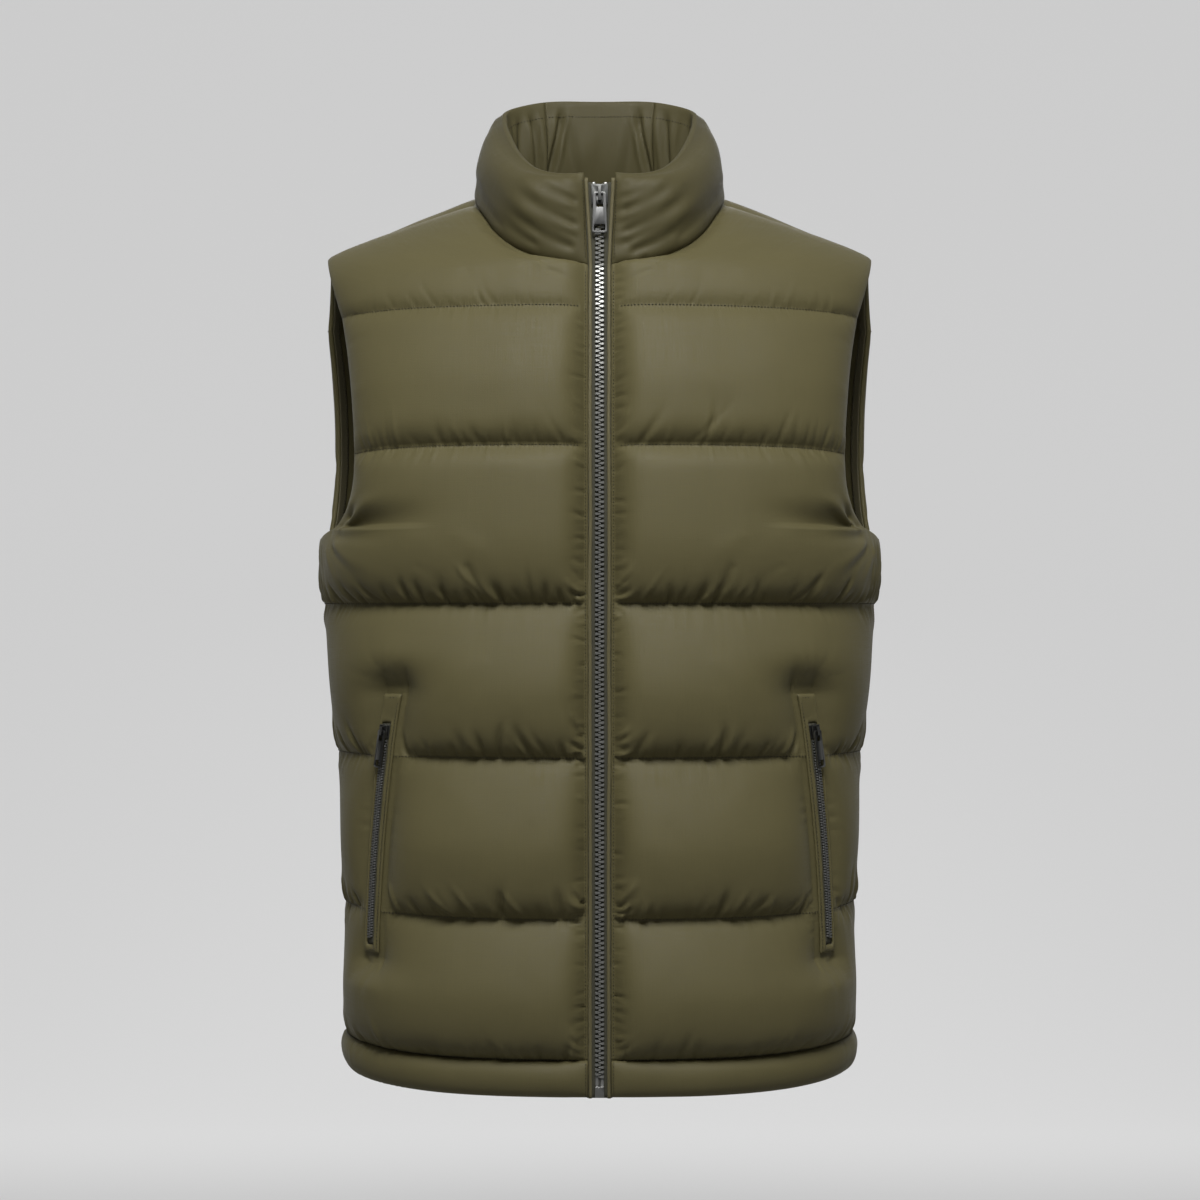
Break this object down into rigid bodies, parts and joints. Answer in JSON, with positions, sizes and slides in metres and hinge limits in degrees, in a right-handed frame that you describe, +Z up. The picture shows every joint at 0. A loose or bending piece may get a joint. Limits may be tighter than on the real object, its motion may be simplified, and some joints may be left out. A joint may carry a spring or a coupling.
{
  "type": "puffer vest",
  "caption": "Sleeveless quilted puffer vest with a padded stand collar, a full-length front zip, slanted zip pockets and a padded hem band, hollow as when worn.",
  "frame": {"origin": "midway between the shoulders at the height of the neck points, in the plane of the shoulder and side seams: where the wearer's shoulders carry the vest", "axes": "+Z up, +X to the wearer's left, -Y out of the wearer's chest"},
  "size_m": [0.436, 0.288, 0.7709],
  "materials": {
    "shell": "soft satin sheen, olive green nylon",
    "lining": "satin olive nylon",
    "zip_tape": "matt woven tape, dark grey-green",
    "zip_teeth": "moulded, dark gunmetal",
    "zip_metal": "satin gunmetal"
  },
  "bodies": {
    "vest": {"front_left": "shell", "front_right": "shell", "back": "shell", "collar_left": "shell", "collar_right": "shell", "collar_back": "shell", "hem_front_left": "shell", "hem_front_right": "shell", "hem_back": "shell", "zip_lip_left": "shell", "zip_lip_right": "shell", "pocket_welt_left": "shell", "pocket_welt_right": "shell", "armhole_facing_left": "lining", "armhole_facing_right": "lining", "zip_tape_left": "zip_tape", "zip_tape_right": "zip_tape", "pocket_tape_left": "zip_tape", "pocket_tape_right": "zip_tape", "zip_teeth_left": "zip_teeth", "zip_teeth_right": "zip_teeth", "zip_box": "zip_teeth", "pocket_teeth_left": "zip_teeth", "pocket_teeth_right": "zip_teeth", "zip_slider": "zip_metal", "pocket_slider_left": "zip_metal", "pocket_slider_right": "zip_metal"},
    "zip_pull": {"zip_pull": "zip_metal"},
    "pocket_pull_left": {"pocket_pull_left": "zip_metal"},
    "pocket_pull_right": {"pocket_pull_right": "zip_metal"}
  },
  "joints": [
    {"name": "zip_pull_hinge", "type": "hinge", "parent": "vest", "child": "zip_pull", "pos_m": [0, -0.10386, -0.00836], "axis": [-1, 0, 0], "range_deg": [0, 170]},
    {"name": "pocket_pull_left_hinge", "type": "hinge", "parent": "vest", "child": "pocket_pull_left", "pos_m": [0.16355, -0.09418, -0.41122], "axis": [-0.8279, -0.5286, -0.1872], "range_deg": [0, 170]},
    {"name": "pocket_pull_right_hinge", "type": "hinge", "parent": "vest", "child": "pocket_pull_right", "pos_m": [-0.16355, -0.09418, -0.41122], "axis": [-0.8279, 0.5286, 0.1872], "range_deg": [0, 170]}
  ]
}
